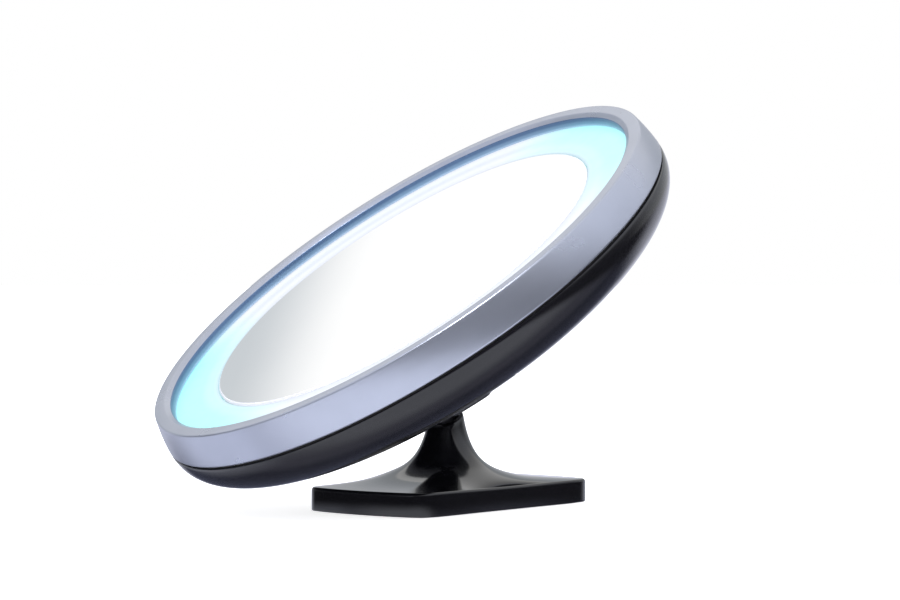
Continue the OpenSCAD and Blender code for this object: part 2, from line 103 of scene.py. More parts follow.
# ---------------------------------------------------------------- base, in millimetres
HALF_W = 27.0           # half width and half length, between the middles of the bowed sides
HALF_L = 47.5
BOW_SHORT = 4.2         # how far the short and the long sides bow out
BOW_LONG = 0.7
CORNER_P = 16           # a higher power makes sharper corners
SHIFT = 2.75            # the plate's middle, along Y from the stem's axis
UNDER_Z = 0.3           # lower edge of the moulding
BASE_H = 8.6            # top of the plate
EDGE_ROLL = 1.3         # round of the plate's top edge
EDGE_INSET = 1.1        # how far in that round ends
CEILING_Z = 6.2         # underside of the plate's top wall
BORE_R = 4.5            # bore for the post
CORE_R = 9.0            # room for the nut, below the bore
CORE_Z = 12.0
STEM_H = 31.6           # top of the stem, on its axis
STEM_CUT = 25.0         # slope of its top, in degrees
FLARE_K = 9.5           # the stem is FLARE_K in radius at FLARE_REF above the plate
FLARE_REF = 13.0
FLARE_P = 0.685
FLARE_BLEND = 5.5       # up to here it changes from the plate's outline to a circle
PAD_T = 0.8             # foot pad
PAD_INSET = 2.6
GROOVE_INSET = 6.2
GROOVE_DEPTH = 0.3

# ---------------------------------------------------------------- fineness of the meshes
LATHE_STEPS = 256
LATHE_TRIM = 0.9988     # keeps the finer circles inside the CAD model's box
BASE_STEPS = 240
FLARE_ROWS = 47
FLARE_CROWDING = 2.2    # rows are closer together near the plate

# ---------------------------------------------------------------- the head's frame
pivot = Vector(joints["head_tilt"]["pos_m"])
hx = -Vector(joints["head_tilt"]["axis"]).normalized()
hn = -Vector(joints["door_right_pull"]["axis"]).normalized()
hy = hn.cross(hx)
lip = pivot + hn * PIVOT_D * MM
HEAD = Matrix.Translation(lip) @ Matrix((hx, hy, hn)).transposed().to_4x4() @ Matrix.Scale(MM, 4)
BASE = Matrix.Scale(MM, 4)
PLAIN = Matrix.Identity(4)


# ---------------------------------------------------------------- lines
def quarter(n):
    """A quarter turn in n equal steps, as n + 1 angles."""
    return [math.pi / 2 * k / n for k in range(n + 1)]


def circle(n):
    return [2 * math.pi * k / n for k in range(n)]


def fillet(corners, n=4):
    """Rounds an open line of (x, y, how far from the corner its round starts)."""
    out = []
    last = len(corners) - 1
    most = 0.48         # of a side, so that two rounds never meet
    for i, (x, y, cut) in enumerate(corners):
        if cut <= 0 or i in (0, last):
            out.append((x, y))
            continue
        p, a, b = Vector((x, y)), Vector(corners[i - 1][:2]), Vector(corners[i + 1][:2])
        s = p + (a - p).normalized() * min(cut, (a - p).length * most)
        e = p + (b - p).normalized() * min(cut, (b - p).length * most)
        for k in range(n + 1):
            t = k / n
            q = s * (1 - t) ** 2 + p * (2 * t * (1 - t)) + e * t * t
            out.append((q.x, q.y))
    return out


def fillet_loop(corners, n=4):
    """The same for a closed line."""
    return fillet([corners[-1]] + corners + [corners[0]], n)[1:-1]


def half_outline(hl, hw, r, nl=30):
    """Upper half of a rounded rectangle, from its +X end to its -X end, with nl steps along its side."""
    ns = 5
    bend = quarter(6)[:-1]
    pts = [(hl, (hw - r) * i / ns) for i in range(ns)]
    pts += [(hl - r + r * math.cos(t), hw - r + r * math.sin(t)) for t in bend]
    pts += [(hl - r - 2 * (hl - r) * i / nl, hw) for i in range(nl)]
    pts += [(-(hl - r) - r * math.sin(t), hw - r + r * math.cos(t)) for t in bend]
    pts += [(-hl, (hw - r) * (1 - i / ns)) for i in range(ns + 1)]
    return pts


def mirrored(up):
    """Closes the upper half of an outline with its mirror image."""
    return up + [(x, -y) for x, y in reversed(up[1:-1])]


def full_outline(hl, hw, r, nl=30):
    """A whole rounded rectangle."""
    return mirrored(half_outline(hl, hw, r, nl))


def turned(x, y, z, turn):
    """A point turned about Z."""
    c, s = math.cos(turn), math.sin(turn)
    return c * x - s * y, s * x + c * y, z


# ---------------------------------------------------------------- meshes
def join_rings(bm, rings, closed=False):
    """Skins a row of rings. A ring of one vertex is a pole."""
    pairs = list(zip(rings, rings[1:]))
    if closed:
        pairs.append((rings[-1], rings[0]))
    for a, b in pairs:
        n = max(len(a), len(b))
        if n == 1:
            continue
        for i in range(n):
            j = (i + 1) % n
            if len(a) == 1:
                bm.faces.new((a[0], b[i], b[j]))
            elif len(b) == 1:
                bm.faces.new((a[i], b[0], a[j]))
            else:
                bm.faces.new((a[i], b[i], b[j], a[j]))


def lathe(bm, line, closed=True):
    """Turns a line of (radius, height) round Z. A point on the axis becomes a pole."""
    rings = []
    for r, z in line:
        if r < 1e-6:
            rings.append([bm.verts.new((0, 0, z))])
            continue
        rings.append([bm.verts.new((r * LATHE_TRIM * math.cos(a), r * LATHE_TRIM * math.sin(a), z))
                      for a in circle(LATHE_STEPS)])
    join_rings(bm, rings, closed)


def cap(bm, ring, flip=False):
    """Closes a ring that is symmetric about its long axis with a row of quads."""
    n = len(ring)
    for k in range(n // 2):
        quad = []
        for v in (ring[k], ring[k + 1], ring[(n - k - 1) % n], ring[(n - k) % n]):
            if v not in quad:
                quad.append(v)
        if len(quad) > 2:
            bm.faces.new(quad[::-1] if flip else quad)


def prism(bm, outline, z0, z1, centre=(0, 0), turn=0.0):
    """A closed prism on a symmetric outline, which is moved to its centre and then turned about Z."""
    moved = [(x + centre[0], y + centre[1]) for x, y in outline]
    rings = [[bm.verts.new(turned(x, y, z, turn)) for x, y in moved] for z in (z0, z1)]
    join_rings(bm, rings)
    cap(bm, rings[0], True)
    cap(bm, rings[1])


def finish_mesh(bm, name, matrix, angle=32.0):
    """Makes the object. Edges that turn less than the angle, in degrees, are smooth."""
    bmesh.ops.remove_doubles(bm, verts=bm.verts, dist=1e-5)
    bmesh.ops.recalc_face_normals(bm, faces=bm.faces)
    bm.normal_update()
    limit = math.radians(angle)
    for e in bm.edges:
        e.smooth = len(e.link_faces) == 2 and e.calc_face_angle(0) < limit
    for f in bm.faces:
        f.smooth = True
    mesh = bpy.data.meshes.new(name)
    bm.to_mesh(mesh)
    bm.free()
    mesh.transform(matrix)
    obj = bpy.data.objects.new(name, mesh)
    scene.collection.objects.link(obj)
    return obj


def piece(obj, body, material, slot, *replaced):
    obj.data.materials.clear()
    obj.data.materials.append(material)
    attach(obj, body)
    if replaced:
        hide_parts(*replaced)
    return obj


def second_skin(obj, skin, wanted):
    """Gives a second material to the faces of a head piece whose (radius, height) is wanted."""
    obj.data.materials.append(skin)
    to_head = HEAD.inverted()
    for f in obj.data.polygons:
        spot = to_head @ f.center
        if wanted(math.hypot(spot.x, spot.y), spot.z):
            f.material_index = 1


def cut(obj, cutter):
    """Takes one mesh out of another, and removes the cutter."""
    mod = obj.modifiers.new("cut", "BOOLEAN")
    mod.operation, mod.solver, mod.object = "DIFFERENCE", "EXACT", cutter
    graph = bpy.context.evaluated_depsgraph_get()
    mesh = bpy.data.meshes.new_from_object(obj.evaluated_get(graph))
    obj.modifiers.clear()
    old = obj.data
    obj.data = mesh
    bpy.data.meshes.remove(old)
    spent = cutter.data
    bpy.data.objects.remove(cutter)
    bpy.data.meshes.remove(spent)


# ---------------------------------------------------------------- material helpers
class Nodes:
    """Short hands for building a node tree."""

    def __init__(self, tree):
        self.tree = tree
        tree.nodes.clear()

    def add(self, kind, **props):
        node = self.tree.nodes.new(kind)
        for k, v in props.items():
            setattr(node, k, v)
        return node

    def link(self, a, b):
        self.tree.links.new(a, b)

    def feed(self, socket, value):
        """Links a socket, or sets a number, vector or colour. A colour gets its alpha here."""
        if isinstance(value, bpy.types.NodeSocket):
            self.link(value, socket)
        elif socket.type == "RGBA":
            socket.default_value = (*value, 1)
        else:
            socket.default_value = value

    def place(self):
        return self.add("ShaderNodeTexCoord").outputs["Object"]

    def math(self, op, a, b=0.0, c=0.0, clamp=False):
        n = self.add("ShaderNodeMath", operation=op, use_clamp=clamp)
        for socket, value in zip(n.inputs, (a, b, c)):
            self.feed(socket, value)
        return n.outputs[0]

    def between(self, fac, low, high):
        """Spreads 0 to 1 over low to high."""
        return self.math("MULTIPLY_ADD", fac, high - low, low)

    def both(self, a, b):
        """1 only where both are 1."""
        return self.math("MULTIPLY", a, b)

    def dot(self, a, b):
        n = self.add("ShaderNodeVectorMath", operation="DOT_PRODUCT")
        self.feed(n.inputs[0], a)
        self.feed(n.inputs[1], b)
        return n.outputs["Value"]

    def step(self, value, low, high, peak=1.0):
        """0 at low, peak at high, and smooth between them."""
        n = self.add("ShaderNodeMapRange", interpolation_type="SMOOTHSTEP")
        self.link(value, n.inputs["Value"])
        n.inputs["From Min"].default_value = low
        n.inputs["From Max"].default_value = high
        n.inputs["To Max"].default_value = peak
        return n.outputs["Result"]

    def ramp(self, value, stops, kind="EASE"):
        n = self.add("ShaderNodeValToRGB")
        n.color_ramp.interpolation = kind
        el = n.color_ramp.elements
        while len(el) > 1:
            el.remove(el[-1])
        el[0].position, el[0].color = stops[0][0], (*stops[0][1], 1)
        for pos, col in stops[1:]:
            el.new(pos).color = (*col, 1)
        self.link(value, n.inputs["Fac"])
        return n.outputs["Color"]

    def mix(self, fac, a, b):
        """A colour mix, whose node has its colours on sockets 6 and 7 and its result on 2."""
        n = self.add("ShaderNodeMix", data_type="RGBA")
        self.feed(n.inputs[0], fac)
        self.feed(n.inputs[6], a)
        self.feed(n.inputs[7], b)
        return n.outputs[2]

    def noise(self, vector, scale, detail=3.0):
        n = self.add("ShaderNodeTexNoise")
        self.link(vector, n.inputs["Vector"])
        n.inputs["Scale"].default_value = scale
        n.inputs["Detail"].default_value = detail
        return n.outputs["Fac"]

    def bump(self, height, strength, distance):
        n = self.add("ShaderNodeBump")
        n.inputs["Strength"].default_value = strength
        n.inputs["Distance"].default_value = distance
        self.link(height, n.inputs["Height"])
        return n.outputs["Normal"]


def linear(r, g, b):
    """A colour in display values from 0 to 255, as the shader wants it."""
    out = []
    for v in (r, g, b):
        c = v / 255
        out.append(c / 12.92 if c <= 0.04045 else ((c + 0.055) / 1.055) ** 2.4)
    return tuple(out)


def principled(name, **sockets):
    """A new material with one Principled shader, which has these values on its own sockets."""
    m = bpy.data.materials.new(name)
    m.use_nodes = True
    t = Nodes(m.node_tree)
    out = t.add("ShaderNodeOutputMaterial")
    bsdf = t.add("ShaderNodeBsdfPrincipled")
    t.link(bsdf.outputs[0], out.inputs["Surface"])
    for k, v in sockets.items():
        bsdf.inputs[k.replace("_", " ")].default_value = v
    return m, t, bsdf


def material(name, colour, rough, metallic=0.0, specular=0.5, spread=0.06, tone_scale=60.0,
             rough_spread=0.05, rough_scale=220.0, bump_scale=900.0, bump=0.08, depth=0.00005,
             stretch=(1, 1, 1), **sockets):
    """A material with its own tone, roughness and relief from object-space noise."""
    m, t, bsdf = principled(name, Metallic=metallic, IOR=1.5, Specular_IOR_Level=specular, **sockets)
    where = t.place()
    if stretch != (1, 1, 1):
        mapping = t.add("ShaderNodeMapping")
        mapping.inputs["Scale"].default_value = stretch
        t.link(where, mapping.inputs["Vector"])
        where = mapping.outputs["Vector"]
    dark = tuple(c * (1 - spread) for c in colour)
    light = tuple(min(1.0, c * (1 + spread)) for c in colour)
    tone = t.noise(where, tone_scale, 4.0)
    t.link(t.ramp(tone, [(0.3, dark), (0.7, light)], "LINEAR"), bsdf.inputs["Base Color"])
    patch = t.noise(where, rough_scale)
    t.link(t.between(patch, rough - rough_spread, rough + rough_spread), bsdf.inputs["Roughness"])
    if bump:
        t.link(t.bump(t.noise(where, bump_scale, 2.0), bump, depth), bsdf.inputs["Normal"])
    return m


# ---------------------------------------------------------------- materials
GLOSS = material("gloss_black_plastic", (0.0035, 0.0035, 0.0045), 0.09, spread=0.2, tone_scale=40.0,
                 rough_spread=0.02, rough_scale=60.0, bump_scale=55.0, bump=0.02, depth=0.0002)
SILVER = material("satin_silver_lacquer", (0.385, 0.41, 0.485), 0.28, metallic=0.85, spread=0.03,
                  tone_scale=70.0, rough_spread=0.02, rough_scale=60.0, bump=0)
MATTE = material("textured_black_plastic", (0.012, 0.012, 0.013), 0.55, spread=0.25, tone_scale=500.0,
                 bump_scale=2400.0, bump=0.35, depth=0.0001)
RUBBER = material("black_rubber", (0.010, 0.010, 0.010), 0.8, specular=0.3, spread=0.3,
                  tone_scale=300.0, bump_scale=1500.0, bump=0.5, depth=0.00015)
WHITE = material("white_plastic", (0.80, 0.83, 0.85), 0.42, spread=0.03, bump_scale=1500.0, bump=0.1)
STEEL = material("zinc_steel", (0.55, 0.56, 0.58), 0.30, metallic=1.0, spread=0.12, tone_scale=250.0,
                 rough_spread=0.10, rough_scale=400.0, bump=0.12, stretch=(1, 1, 6))
BLACK_STEEL = material("blackened_steel", (0.03, 0.03, 0.034), 0.35, metallic=0.8, spread=0.25,
                       tone_scale=600.0, bump_scale=1800.0, bump=0.15)
BALLAST = material("mill_steel", (0.30, 0.31, 0.33), 0.45, metallic=1.0, spread=0.2, tone_scale=120.0,
                   rough_spread=0.12, bump_scale=700.0, bump=0.2)
ACETAL = material("natural_acetal", (0.78, 0.72, 0.58), 0.4, spread=0.05, bump_scale=1200.0, bump=0.1)
FOAM = material("closed_foam", (0.07, 0.07, 0.075), 0.9, specular=0.2, spread=0.4, tone_scale=1500.0,
                bump_scale=2500.0, bump=0.8, depth=0.0002)
BOARD = material("white_circuit_board", (0.74, 0.78, 0.74), 0.4, tone_scale=300.0)
GREEN = material("green_circuit_board", (0.015, 0.12, 0.05), 0.35, spread=0.3, tone_scale=500.0)
WIRE = material("wire_insulation", (0.45, 0.02, 0.02), 0.45, spread=0.1, tone_scale=400.0)
JACKET = material("cell_jacket", (0.05, 0.055, 0.075), 0.28, spread=0.15, tone_scale=150.0)
CONTACT = material("nickel_contact", (0.66, 0.65, 0.62), 0.25, metallic=1.0, spread=0.1,
                   tone_scale=500.0)
KNOB = material("switch_knob_silver", (0.42, 0.44, 0.52), 0.35, metallic=0.4, spread=0.05,
                bump_scale=2500.0, bump=0.15)
EDGE = material("ground_glass_edge", (0.66, 0.66, 0.70), 0.5, spread=0.04, bump=0)
CHIPS = material("phosphor_chip", (0.9, 0.85, 0.5), 0.4, spread=0.05, Emission_Strength=2.0,
                 Emission_Color=(0.85, 1.0, 1.0, 1.0))


def from_lip(t, where):
    """The way from the middle of the lip to each place on the head, in metres."""
    rel = t.add("ShaderNodeVectorMath", operation="SUBTRACT")
    t.link(where, rel.inputs[0])
    rel.inputs[1].default_value = lip
    return rel.outputs[0]


def wall_painted_light_material():
    """The silver ring's inner wall, with painted shade, dark at the lip, and painted light from the light
    ring, paler down towards it.
    """
    m, t, bsdf = principled("silver_inner_wall_painted_light", Metallic=0.5, IOR=1.5, Specular_IOR_Level=0.5)
    where = t.place()
    deep = t.math("DIVIDE", t.dot(from_lip(t, where), -hn), SHELF_D * MM)
    # painted shade and painted light: blue tones from dark at the lip to pale at the shelf stand in for the
    # light ring's glow on the silver
    painted_light_tones = [
        (0.0, (0.10, 0.14, 0.25)),
        (0.45, (0.075, 0.135, 0.24)),
        (0.72, (0.16, 0.26, 0.38)),
        (1.0, (0.40, 0.53, 0.68)),
    ]
    t.link(t.ramp(deep, painted_light_tones), bsdf.inputs["Base Color"])
    t.link(t.between(t.noise(where, 220.0), 0.35, 0.45), bsdf.inputs["Roughness"])
    return m


def diffuser_material():
    """Opal plastic lit from behind: white, turning cyan at the two ends of one diameter."""
    m, t, bsdf = principled("lit_opal_diffuser", Emission_Strength=0.90)
    where = t.place()
    rel = from_lip(t, where)
    side_x, side_y = t.dot(rel, hx), t.dot(rel, hy)
    radius = t.math("SQRT", t.math("ADD", t.math("POWER", side_x, 2.0), t.math("POWER", side_y, 2.0)))

    def lobe(bearing, low, high, peak):
        """Rises to its peak towards a bearing. low and high are cosines of the angle from there."""
        a = math.radians(bearing)
        toward = t.math("DIVIDE", t.dot(rel, hx * math.cos(a) + hy * math.sin(a)), radius)
        return t.step(toward, low, high, peak)

    lower_end = lobe(245, 0.62, 0.955, 1.0)
    upper_end = lobe(72, 0.70, 0.985, 0.82)
    across = t.math("DIVIDE", t.math("SUBTRACT", radius, DIFF_IN * MM), (WALL_IN - DIFF_IN) * MM)
    # the cyan is faint at the glass, and full from the middle of the ring outwards
    core = t.ramp(across, [(0.0, (0.35,) * 3), (0.12, (0.72,) * 3), (0.45, (1,) * 3), (1.0, (1.1,) * 3)])
    mottled = t.between(t.noise(where, 90.0, 2.0), 0.93, 1.07)
    ends = t.both(t.math("ADD", lower_end, upper_end), core)
    cyan = t.math("MULTIPLY", ends, mottled, clamp=True)
    # the white has painted shade at the glass, where it is greyer, and is greyer again along the middle of
    # the ring
    white = t.ramp(across, [
        (0.0, linear(192, 196, 210)),
        (0.10, linear(216, 219, 230)),
        (0.32, linear(228, 230, 237)),
        (0.55, linear(216, 220, 229)),
        (0.85, linear(236, 238, 243)),
        (1.0, linear(234, 236, 242)),
    ])
    t.link(t.mix(cyan, white, linear(163, 248, 252)), bsdf.inputs["Emission Color"])
    body = t.ramp(t.noise(where, 300.0), [(0.3, (0.10, 0.115, 0.12)), (0.7, (0.12, 0.13, 0.135))], "LINEAR")
    t.link(body, bsdf.inputs["Base Color"])
    t.link(t.between(t.noise(where, 150.0), 0.40, 0.48), bsdf.inputs["Roughness"])
    t.link(t.bump(t.noise(where, 1800.0), 0.05, 0.00005), bsdf.inputs["Normal"])
    return m


def mirror_material():
    """Silvered glass, with a faintly uneven tone and polish."""
    m, t, bsdf = principled("silvered_glass", Metallic=1.0)
    where = t.place()
    tone = t.ramp(t.noise(where, 25.0), [(0.3, (0.93, 0.935, 0.94)), (0.7, (0.95, 0.955, 0.955))], "LINEAR")
    t.link(tone, bsdf.inputs["Base Color"])
    t.link(t.between(t.noise(where, 60.0), 0.012, 0.024), bsdf.inputs["Roughness"])
    return m


WALL_PAINTED_LIGHT = wall_painted_light_material()
DIFFUSER = diffuser_material()
FACE = mirror_material()


# ---------------------------------------------------------------- base: plate that sweeps up into the stem
def side_reach(a, half, out, bow):
    """How far a bowed side is from the middle, in direction a from the middle of that side."""
    r = (half * half + bow * bow) / (2 * bow)
    k = out + bow - r
    return k * math.cos(a) + math.sqrt(r * r - (k * math.sin(a)) ** 2)


def outline_r(a):
    """Radius of the plate's outline, whose corners are rounded by a power mean of its four sides."""
    sides = [side_reach(a - b, HALF_W, HALF_L, BOW_SHORT) for b in (math.pi / 2, -math.pi / 2)]
    sides += [side_reach(a - b, HALF_L, HALF_W, BOW_LONG) for b in (0, math.pi)]
    # a side on the far side of the middle has no reach in this direction
    return sum(max(s, 1e-6) ** -CORNER_P for s in sides) ** (-1 / CORNER_P)


ANGLES = circle(BASE_STEPS)
REACH = [outline_r(a) for a in ANGLES]
OFFSET = [FLARE_REF * (FLARE_K / (r - EDGE_INSET)) ** (1 / FLARE_P) for r in REACH]
TAN_CUT = math.tan(math.radians(STEM_CUT))


def stem_r(h):
    """Radius of the stem at a height above the plate."""
    return FLARE_K * (FLARE_REF / h) ** FLARE_P


def flare_point(i, h):
    """Where column i of the flare is at a height above the plate."""
    blend = (1 - h / FLARE_BLEND) ** 2 if h < FLARE_BLEND else 0.0
    r = stem_r(h + OFFSET[i] * blend)
    return r * math.cos(ANGLES[i]), r * math.sin(ANGLES[i]) + SHIFT * blend


def top_height(i):
    """Height above the plate at which column i meets the stem's sloping top."""
    h = STEM_H - BASE_H
    for _ in range(30):
        h = STEM_H - BASE_H + flare_point(i, h)[1] * TAN_CUT
    return h


def plate_ring(bm, z, inset):
    """The plate's outline at a height, moved in by an inset."""
    return [bm.verts.new(((r - inset) * math.cos(a), (r - inset) * math.sin(a) + SHIFT, z))
            for a, r in zip(ANGLES, REACH)]


def round_ring(bm, r, z):
    """A circle round the stem's axis."""
    return [bm.verts.new((r * math.cos(a), r * math.sin(a), z)) for a in ANGLES]


def slope_ring(bm, radii, drop):
    """A ring on the stem's sloping top, or a drop below it."""
    ring = []
    for a, r in zip(ANGLES, radii):
        y = r * math.sin(a)
        ring.append(bm.verts.new((r * math.cos(a), y, STEM_H + y * TAN_CUT - drop)))
    return ring


def base_moulding():
    """From the lower edge up over the plate and stem, down the bore, and along the underside."""
    bm = bmesh.new()
    rings = [plate_ring(bm, z, inset) for z, inset in ((UNDER_Z, 0.3), (0.42, 0.12), (0.8, 0.0))]
    rings += [plate_ring(bm, BASE_H - EDGE_ROLL + EDGE_ROLL * math.sin(t), EDGE_INSET * (1 - math.cos(t)))
              for t in quarter(8)]
    tops = [top_height(i) for i in range(BASE_STEPS)]
    for k in range(1, FLARE_ROWS):
        share = (k / FLARE_ROWS) ** FLARE_CROWDING
        ring = []
        for i in range(BASE_STEPS):
            h = tops[i] * share
            x, y = flare_point(i, max(h, 1e-3))
            ring.append(bm.verts.new((x, y, BASE_H + h)))
        rings.append(ring)
    # the rounded rim of the stem's top, and then the chamfer into the bore
    for inset, drop in ((0.0, 0.45), (0.13, 0.13), (0.5, 0.0)):
        rings.append(slope_ring(bm, [stem_r(h) - inset for h in tops], drop))
    for widen, drop in ((0.3, 0.0), (0.0, 0.3)):
        rings.append(slope_ring(bm, [BORE_R + widen] * BASE_STEPS, drop))
    rings += [round_ring(bm, r, z) for r, z in ((BORE_R, CORE_Z), (CORE_R, CORE_Z), (CORE_R, CEILING_Z))]
    rings += [plate_ring(bm, z, WALL) for z in (CEILING_Z, UNDER_Z)]
    join_rings(bm, rings, closed=True)
    piece(finish_mesh(bm, "base_moulding", BASE, 34), "base", GLOSS, "gloss_black", "base_shell")


def foot_pad():
    """A rubber pad with a rounded lower edge and a shallow groove round it."""
    bm = bmesh.new()
    rim = [(PAD_T, 0.0), (0.25, 0.0), (0.07, 0.08), (0.0, 0.35)]
    groove = [(0.0, -0.2), (0.0, 0.0), (GROOVE_DEPTH, 0.3), (GROOVE_DEPTH, 1.5), (0.0, 1.8), (0.0, 2.1)]
    rings = [plate_ring(bm, z, PAD_INSET + inset) for z, inset in rim]
    rings += [plate_ring(bm, z, GROOVE_INSET + inset) for z, inset in groove]
    join_rings(bm, rings + [[bm.verts.new((0, SHIFT, 0.0))]])
    join_rings(bm, [[bm.verts.new((0, SHIFT, PAD_T))], rings[0]])
    piece(finish_mesh(bm, "pad_with_groove", BASE), "base", RUBBER, "rubber_black", "foot_pad")


# ---------------------------------------------------------------- silver ring, diffuser and glass
def silver_ring():
    """Flat lip, outer chamfer, side band, and the inner wall with its shelf over the diffuser."""
    bm = bmesh.new()
    lathe(bm, fillet_loop([
        (LIP_IN, 0, 0.3),
        (LIP_R, 0, 0.75),
        (LIP_R + 1.3, -5.5, 2.2),
        (SEAM_R - 0.35, -9, 1.6),
        (SEAM_R - 0.05, -FOOT_D + 0.45, 0.3),
        (SEAM_R - 0.4, -FOOT_D, 0.2),
        (BAND_IN, -FOOT_D, 0.2),
        (BAND_IN, -SHELF_D, 0.2),
        (WALL_IN, -SHELF_D, 0.15),
        (WALL_IN + 0.2, -1.3, 0.35),
    ], 5))
    ring = finish_mesh(bm, "silver_bezel", HEAD, 40)
    piece(ring, "head", SILVER, "silver_plastic", "bezel_ring")
    edge = 1.2          # the wall's painted light and shade start this far below the lip and inside it
    second_skin(ring, WALL_PAINTED_LIGHT, lambda r, z: r < LIP_IN - edge and z < -edge)


def light_ring():
    """The flat opal ring, with rounded edges."""
    bm = bmesh.new()
    lathe(bm, fillet_loop([
        (DIFF_IN, -DIFF_D, 0.35),
        (DIFF_OUT, -DIFF_D, 0.2),
        (DIFF_OUT, -DIFF_D - DIFF_T, 0.2),
        (DIFF_IN, -DIFF_D - DIFF_T, 0.2),
    ]))
    piece(finish_mesh(bm, "opal_light_ring", HEAD), "head", DIFFUSER, "diffuser", "diffuser_ring")


def round_glass():
    """A flat round glass with a ground edge. Its flat face has extra rings, to keep the shading even."""
    bm = bmesh.new()
    back = -GLASS_D - GLASS_T
    line = [(r, -GLASS_D) for r in (0, 25, 50, 70)]
    line += [
        (GLASS_R - 0.8, -GLASS_D),
        (GLASS_R - 0.45, -GLASS_D - 0.22),
        (GLASS_R, -GLASS_D - 0.8),
        (GLASS_R, back + 0.4),
        (GLASS_R - 0.4, back),
        (0, back),
    ]
    lathe(bm, line, closed=False)
    glass = finish_mesh(bm, "round_glass", HEAD, 14)
    piece(glass, "head", FACE, "mirror", "mirror_glass")
    second_skin(glass, EDGE, lambda r, z: r > GLASS_R - 1.0 or z < -GLASS_D - 0.5)


# ---------------------------------------------------------------- rear shell
def dome_d(r, inset=0.0):
    """Depth of the dome at a radius, or of a surface an inset below it."""
    share = max(0.0, 1 - (r / (SEAM_R - inset)) ** DOME_P) ** (1 / DOME_Q)
    return SEAM_D + (DOME_H - inset) * share


def pod_side(d, inset=0.0):
    """Radius of the pod's side at a depth."""
    share = (d - POD_FROM) / (POD_D - inset - POD_FROM)
    return POD_R + POD_FLARE - inset - POD_FLARE * share


def meet(inset):
    """Where the pod's side comes out of the dome."""
    r = POD_R
    for _ in range(20):
        r = pod_side(dome_d(r, inset), inset)
    return r, dome_d(r, inset)


def dome_line(start_r, n, inset=0.0):
    """n + 1 points along the dome, from a radius out to the seam."""
    edge = SEAM_R - inset
    start = math.asin(start_r / edge)
    radii = [edge * math.sin(start + (math.pi / 2 - start) * k / n) for k in range(n + 1)]
    return [(r, dome_d(r, inset)) for r in radii]


def shell_line():
    """The shell's section, from the middle of the pod out over the dome and back inside."""
    r0, d0 = meet(0)
    pod = fillet([(0, POD_D, 0), (POD_R, POD_D, 1.8), (r0, d0, 1.6), (r0 + 4, dome_d(r0 + 4), 0)], 7)
    outer = dome_line(r0 + 6, 64)
    outer[-1] = (SEAM_R - 0.02, SEAM_D + 0.5)
    rim = [(SEAM_R - 0.12, SEAM_D + 0.15), (SEAM_R - 0.4, SEAM_D), (SEAM_R - WALL, SEAM_D)]
    r1, d1 = meet(WALL)
    inner = dome_line(r1 + 2, 24, WALL)[:-1]
    tail = [(r1, d1), (POD_R - WALL, POD_D - WALL), (0, POD_D - WALL)]
    return [(r, -d) for r, d in pod + outer + rim + inner[::-1] + tail]


def bay_turn(side):
    return math.radians(BAY_TURN if side > 0 else 180 - BAY_TURN)


DOOR_MID = (DOOR_FROM + DOOR_TO) / 2
DOOR_HL = (DOOR_TO - DOOR_FROM) / 2


def shell_cuts():
    """All that is taken out of the shell: bays, the post's slot, the switch's slot and seat, screw holes."""
    bm = bmesh.new()
    door_hole = full_outline(DOOR_HL, DOOR_HALF, DOOR_R)
    for side in (1, -1):
        prism(bm, door_hole, -CUT_FAR_D, -CUT_BAY_D, (DOOR_MID, 0), bay_turn(side))
    prism(bm, full_outline(*STEM_SLOT, nl=8), -CUT_FAR_D, -CUT_SLOT_D, (STEM_SLOT_Y, 0), math.pi / 2)
    prism(bm, full_outline(*SWITCH_SLOT, nl=8), -CUT_FAR_D, -CUT_SLOT_D, (0, SWITCH_Y))
    prism(bm, full_outline(*SWITCH_SEAT, nl=8), -CUT_FAR_D, -SWITCH_SEAT_D, (0, SWITCH_Y))
    hole = mirrored([(SCREW_R + SCREW_HOLE_R * math.cos(t), SCREW_HOLE_R * math.sin(t))
                     for t in (math.pi * k / 16 for k in range(17))])
    for bearing in (45, 135, 225, 315):
        prism(bm, hole, -CUT_FAR_D, -SCREW_SEAT_D + SEAT_PLAY, turn=math.radians(bearing))
    return finish_mesh(bm, "cutter", PLAIN)


def domed_back():
    """The dome and its pod, with all holes cut."""
    bm = bmesh.new()
    lathe(bm, shell_line(), closed=False)
    shell = finish_mesh(bm, "domed_back", PLAIN)
    cut(shell, shell_cuts())
    bm = bmesh.new()
    bm.from_mesh(shell.data)
    bpy.data.objects.remove(shell)
    piece(finish_mesh(bm, "domed_back_shell", HEAD, 30), "head", GLOSS, "gloss_black", "rear_shell")


# ---------------------------------------------------------------- battery lids
def lid_ring(bm, turn, inset, drop, deep=0.0):
    """An outline of the lid on the dome: in from its edge, a drop below the dome, or on its inside."""
    in_all = DOOR_GAP + inset
    ring = []
    for x, y in full_outline(DOOR_HL - in_all, DOOR_HALF - in_all, max(DOOR_R - in_all, 0.15)):
        x += DOOR_MID
        d = dome_d(math.hypot(x, y), deep) - drop
        ring.append(bm.verts.new(turned(x, y, -d, turn)))
    return ring


def grip_bar(bm, turn, mid):
    """A half-round bar across the lid, which sinks into it at both ends."""
    half, width, sunk, rise, cuts, sides = 7.5, 0.6, 0.15, 0.55, 14, 6
    rows = []
    for j in range(cuts + 1):
        y = -half + 2 * half * j / cuts
        end = rise * math.sqrt(max(0.0, 1 - (abs(y) / half) ** 8))
        row = []
        for q in range(sides + 1):
            t = math.pi * q / sides
            x = mid - width * math.cos(t)
            d = dome_d(math.hypot(x, y)) - sunk + (sunk + end) * math.sin(t)
            row.append(bm.verts.new(turned(x, y, -d, turn)))
        rows.append(row)
    for a, b in zip(rows, rows[1:]):
        for q in range(sides):
            bm.faces.new((a[q], a[q + 1], b[q + 1], b[q]))
        bm.faces.new((a[-1], a[0], b[0], b[-1]))
    bm.faces.new(rows[0])
    bm.faces.new(rows[-1][::-1])


